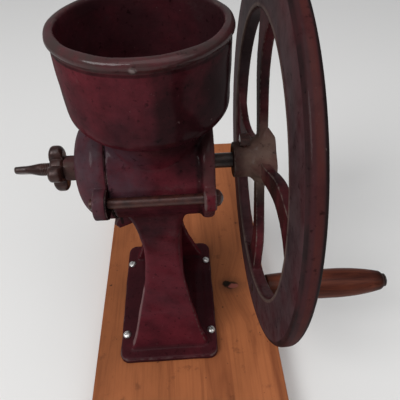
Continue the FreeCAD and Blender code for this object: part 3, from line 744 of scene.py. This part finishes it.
def lockNut():
    low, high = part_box("lock_nut")
    t = np.linspace(0, 2 * np.pi, 240, endpoint=False)
    reach, lobe, bore = nutSet["reach"], nutSet["lobe"], nutSet["bore"]
    radii = [np.full_like(t, nutSet["hub"])]
    for k in range(nutSet["lobes"]):
        off = t - math.radians(nutSet["turn"]) - 2 * np.pi * k / nutSet["lobes"]
        side = lobe ** 2 - (reach * np.sin(off)) ** 2
        edge = reach * np.cos(off) + np.sqrt(np.maximum(side, 0))
        radii.append(np.where((side > 0) & (np.cos(off) > 0), edge, 1e-4))
    star = sum(r ** nutSet["blend"] for r in radii) ** (1 / nutSet["blend"])
    across = np.linspace(-1, 1, 41)
    wall = star[None, :] * (1 - nutSet["drawIn"] * np.abs(across[:, None]) ** 4)
    inward = np.linspace(1, 0, 8)[1:, None]
    leftFace = bore + (wall[:1] - bore) * inward[::-1]
    rightFace = bore + (wall[-1:] - bore) * inward
    radius = np.concatenate([leftFace, wall, rightFace])
    place = np.concatenate([np.full(7, -1.0), across, np.full(7, 1.0)])
    x = place * (high.x - low.x) / 2 + (low.x + high.x) / 2
    points = np.stack([x[:, None] + 0 * t, radius * np.cos(t), shaftZ + radius * np.sin(t)], -1)
    return gridMesh("lockNut", points, wrap=True)


# adjusting screw: an oval section carried along X; a helical ridge runs on the round part, and the outer end
# is hammered from the round to a flat blade
screwSet = dict(pitch=0.0015, ridge=0.00042, width=0.0095, thick=0.0038, tipThick=0.0031, turn=-45.0,
                radius=0.0054, blade=0.009, bladeFrom=0.55, tip=0.004, tipShare=0.25)


def adjustingScrew():
    low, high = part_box("adjusting_screw")
    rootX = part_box("lock_nut")[0].x - screwSet["blade"]
    t = np.linspace(0, 2 * np.pi, 72, endpoint=False)
    x = np.concatenate([np.linspace(low.x, rootX, 60), np.linspace(rootX, high.x, 420)[1:]])
    out = np.clip((rootX - x) / (rootX - low.x), 0, 1)
    flat = np.clip(out / screwSet["bladeFrom"], 0, 1)
    flat = flat * flat * (3 - 2 * flat)
    tip = np.clip((x - low.x) / screwSet["tip"], 0, 1)
    closing = np.sqrt(1 - (1 - tip) ** 2) * screwSet["tipShare"] + 1 - screwSet["tipShare"]
    half = (screwSet["radius"] + (screwSet["width"] - screwSet["radius"]) * flat) * closing
    thin = screwSet["thick"] + (screwSet["tipThick"] - screwSet["thick"]) * out
    thick = screwSet["radius"] + (thin - screwSet["radius"]) * flat
    wave = (x[:, None] / screwSet["pitch"] - t[None, :] / (2 * np.pi)) % 1.0
    ridge = screwSet["ridge"] * (np.abs(2 * wave - 1) - 0.7) * (flat[:, None] < 0.02)
    c, d = np.cos(t), np.sin(t)
    squarer = 1.0 / (np.abs(c) ** 3 + np.abs(d) ** 3) ** (1 / 3)     # than an ellipse
    shape = 1 + (squarer[None, :] - 1) * flat[:, None]
    a = (half[:, None] + ridge) * c * shape
    b = (thick[:, None] + ridge) * d * shape
    turn = math.radians(screwSet["turn"])
    y = a * math.cos(turn) - b * math.sin(turn)
    z = a * math.sin(turn) + b * math.cos(turn)
    points = np.stack([x[:, None] + 0 * a, y, shaftZ + z], -1)
    ends = [np.broadcast_to(points[k].mean(0), points[k].shape)[None] for k in (0, -1)]
    inner = points[:1] * 0.5 + ends[0] * 0.5
    return gridMesh("adjustingScrew", np.concatenate([ends[0], inner, points, ends[1]]))


# turned grip: two arcs level at the belly, rounded ends, and fine tool rings near both ends
gripSet = dict(end=0.0123, belly=0.0146, tip=0.0086, bellyAt=0.56, bore=0.00405, rings=0.00006, ringCount=560,
               ringFade=(0.06, 0.08), endRound=0.0011, endSpan=0.012, tipRound=0.0022, tipSpan=0.035)


def handleGrip():
    s = np.linspace(0, 1, 220)
    place, bore, belly = gripSet["bellyAt"], gripSet["bore"], gripSet["belly"]
    drop = np.where(s < place, (belly - gripSet["end"]) * ((place - s) / place) ** 2,
                    (belly - gripSet["tip"]) * (np.maximum(s - place, 0) / (1 - place)) ** 2.2)
    r = belly - drop - gripSet["endRound"] * np.clip(1 - s / gripSet["endSpan"], 0, 1) ** 2
    r = r - gripSet["tipRound"] * np.clip((s - 1) / gripSet["tipSpan"] + 1, 0, 1) ** 2
    ends = np.exp(-s / gripSet["ringFade"][0]) + np.exp(-(1 - s) / gripSet["ringFade"][1])
    r = r + gripSet["rings"] * np.sin(s * gripSet["ringCount"]) * ends
    x = gripLow.x + s * (gripHigh.x - gripLow.x)
    radius = np.concatenate([[bore, (bore + r[0]) / 2], r, [(bore + r[-1]) / 2, bore]])
    xs = np.concatenate([[x[0], x[0]], x, [x[-1], x[-1]]])
    return gridMesh("handleGrip", roundAbout(xs, radius, gripAxis, 112), wrap=True)


# tie bolts: a plain round rod, and a six-sided head whose corners are drawn in towards its outer face
boltSet = dict(radius=0.0042, flats=0.0140, shown=0.0120, headDepth=0.0055, dome=0.0016, drawIn=0.0022,
               tipRadii=(0.0034, 0.0040), tipLength=(0.0006, 0.001))
boltLow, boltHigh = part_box("tie_bolts")
boltZ = (boltLow.z + boltHigh.z) / 2
boltReach = boltSet["flats"] / 2 / math.cos(math.pi / 6)
boltPlaces = (boltLow.y + boltReach, boltHigh.y - boltReach)


def tieRods():
    left, end, radius = boltLow.x, boltHigh.x - boltSet["headDepth"], boltSet["radius"]
    first, second = boltSet["tipLength"]
    x = np.concatenate([[left, left, left + first], np.linspace(left + second, end, 40), [end]])
    r = np.concatenate([[0, *boltSet["tipRadii"]], np.full(40, radius), [0]])
    return [gridMesh("tieRod", roundAbout(x, r, (y, boltZ), 48)) for y in boltPlaces]


def tieHeads():
    t = np.linspace(0, 2 * np.pi, 96, endpoint=False)
    six = np.abs((t + np.pi / 6) % (np.pi / 3) - np.pi / 6)
    reach = boltSet["shown"] / 2
    flat = reach / np.cos(np.pi / 6 - six)
    corner = reach / math.cos(math.pi / 6)
    s = np.linspace(0, 1, 14)[:, None]
    draw = np.minimum(flat[None, :], corner - boltSet["drawIn"] * s ** 2) * (1 - 0.10 * s ** 6)
    x = boltHigh.x - boltSet["headDepth"] + s[:, 0] * (boltSet["headDepth"] - boltSet["dome"])
    cap = np.linspace(1, 0, 8)[1:]
    radius = np.concatenate([draw[:1] * 0, draw, draw[-1:] * cap[:, None]])
    xs = np.concatenate([x[:1], x, boltHigh.x - boltSet["dome"] * cap ** 2])[:, None]
    heads = [np.stack([xs + 0 * t, y + radius * np.cos(t), boltZ + radius * np.sin(t)], -1) for y in boltPlaces]
    return [gridMesh("tieHead", points) for points in heads]


# slotted round heads: height falls as a circle's arc from the middle, and a straight slot is pressed into it
screwHead = dict(radius=0.0046, dome=0.0030, slot=0.00065, slotEdge=0.00008, depth=0.0013,
                 turns=(35.0, 70.0, 105.0, 140.0))


def baseScrews():
    low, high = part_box("base_screws")
    seat = high.z - screwHead["dome"]
    inset = screwHead["radius"]
    heads = []
    s = np.linspace(0, 1, 40)[:, None]
    t = np.linspace(0, 2 * np.pi, 120, endpoint=False)[None, :]
    corners = [(x, y) for x in (low.x + inset, high.x - inset) for y in (low.y + inset, high.y - inset)]
    for (cx, cy), turn in zip(corners, screwHead["turns"]):
        r = screwHead["radius"] * np.sin(s * np.pi / 2) ** 0.9
        dx, dy = r * np.cos(t), r * np.sin(t)
        across = dx * math.sin(math.radians(turn)) - dy * math.cos(math.radians(turn))
        slot = 1 / (1 + np.exp((np.abs(across) - screwHead["slot"]) / screwHead["slotEdge"]))
        dome = screwHead["dome"] * np.sqrt(np.maximum(1 - (r / screwHead["radius"]) ** 2, 0)) ** 0.8
        z = seat + np.maximum(dome - slot * screwHead["depth"], 0) * (1 + 0 * t)
        rows = np.stack([cx + dx, cy + dy, z], -1)
        under = np.stack([cx + 0 * t, cy + 0 * t, seat + 0 * t], -1)
        heads.append(gridMesh("screwHead", np.concatenate([rows, under])))
    return heads


# hub flare: round the shaft the radius swells as a bell along X, most where a spoke leaves the hub
flareSet = dict(hub=0.0152, swell=0.0150, length=0.0085, spokes=4, angle=82.0, spokeIn=0.0075, left=0.022,
                end=0.0005, shift=0.0015, bore=0.0075, even=0.15)


def hubFlare():
    spokeX = wheelHigh.x - flareSet["spokeIn"]
    x = np.linspace(spokeX - flareSet["left"], wheelHigh.x - flareSet["end"], 50)
    t = np.linspace(0, 2 * np.pi, 192, endpoint=False)
    bell = np.exp(-((x - spokeX + flareSet["shift"]) / flareSet["length"]) ** 2)[:, None]
    lobe = 0.5 + 0.5 * np.cos(flareSet["spokes"] * (t - math.radians(flareSet["angle"])))
    share = flareSet["even"] + (1 - flareSet["even"]) * lobe[None, :] ** 1.3
    radius = flareSet["hub"] + flareSet["swell"] * bell * share
    inner = np.full((1, t.size), flareSet["bore"])
    radius = np.concatenate([inner, radius, inner])
    xs = np.concatenate([x[:1], x, x[-1:]])[:, None]
    points = np.stack([xs + 0 * t, radius * np.cos(t), shaftZ + radius * np.sin(t)], -1)
    return gridMesh("hubFlare", points, wrap=True)


for k, mesh in enumerate(tieRods()):
    addPiece(f"tieRod{k + 1}", mesh, "rodIron", "stand", "tie_bolts")
for k, mesh in enumerate(tieHeads()):
    addPiece(f"tieHead{k + 1}", mesh, "rodIron", "stand")
for k, mesh in enumerate(baseScrews()):
    addPiece(f"screwHead{k + 1}", mesh, "bright", "stand", "base_screws")
addPiece("hubFlare", hubFlare(), "wheelPaint", "rotor")
addPiece("lockNut", lockNut(), "iron", "locking", "lock_nut")
addPiece("adjustingScrew", adjustingScrew(), "iron", "adjuster", "adjusting_screw")
addPiece("handleGrip", handleGrip(), "wood", "grip", "handle_grip")

# floor
floorSet = dict(half=3.0, colour=(0.80, 0.79, 0.775), rough=0.9)
floorMesh = bpy.data.meshes.new("floor")
half = floorSet["half"]
corners = [(-half, -half, 0), (half, -half, 0), (half, half, 0), (-half, half, 0)]
floorMesh.from_pydata(corners, [], [(0, 1, 2, 3)])
floor = bpy.data.objects.new("floor", floorMesh)
scene.collection.objects.link(floor)
floorMat, _, floorShader, _ = newFinish("paleFloor")
floorShader.inputs["Base Color"].default_value = (*floorSet["colour"], 1)
floorShader.inputs["Roughness"].default_value = floorSet["rough"]
floorMesh.materials.append(floorMat)
print("floor laid")

# camera at the photograph's angle, found by fitting the wheel, hopper, base and shaft; angles in radians
cameraSet = dict(place=(0.032629, -0.262882, 0.469981), yaw=0.0356, pitch=0.7943, roll=0.029, lens=35.38)
cosYaw, sinYaw = math.cos(cameraSet["yaw"]), math.sin(cameraSet["yaw"])
cosPitch, sinPitch = math.cos(cameraSet["pitch"]), math.sin(cameraSet["pitch"])
cosRoll, sinRoll = math.cos(cameraSet["roll"]), math.sin(cameraSet["roll"])
forward = Vector((sinYaw * cosPitch, cosYaw * cosPitch, -sinPitch))
level = Vector((cosYaw, -sinYaw, 0))
down = forward.cross(level)
cameraRight = cosRoll * level + sinRoll * down
cameraDown = cosRoll * down - sinRoll * level
camData = bpy.data.cameras.new("camera")
camData.sensor_width = 36.0
camData.lens = cameraSet["lens"]
camData.clip_start = 0.01
camera = bpy.data.objects.new("camera", camData)
turned = Matrix((cameraRight, -cameraDown, -forward)).transposed().to_4x4()
camera.matrix_world = Matrix.Translation(cameraSet["place"]) @ turned
scene.collection.objects.link(camera)
scene.camera = camera

# soft light from the upper left, weaker from the right and above, and a pale room
lampSet = dict(key=dict(place=(-1.60, -1.25, 2.20), size=1.5, power=46.0),
               fill=dict(place=(1.5, -1.2, 2.0), size=1.8, power=9.0),
               top=dict(place=(0.05, -0.35, 2.40), size=2.0, power=15.0))
roomSet = dict(aim=(0.02, 0.0, 0.2), colour=(0.95, 0.97, 1.0), strength=0.33)
for name, lamp in lampSet.items():
    data = bpy.data.lights.new(name, 'AREA')
    data.shape = 'DISK'
    data.size = lamp["size"]
    data.energy = lamp["power"]
    lampObject = bpy.data.objects.new(name, data)
    aim = Vector(roomSet["aim"]) - Vector(lamp["place"])
    facing = aim.to_track_quat('-Z', 'Y').to_matrix().to_4x4()
    lampObject.matrix_world = Matrix.Translation(lamp["place"]) @ facing
    scene.collection.objects.link(lampObject)
world = bpy.data.worlds.new("room")
scene.world = world
world.use_nodes = True
background = world.node_tree.nodes["Background"]
background.inputs["Color"].default_value = (*roomSet["colour"], 1)
background.inputs["Strength"].default_value = roomSet["strength"]
print("camera and light set")
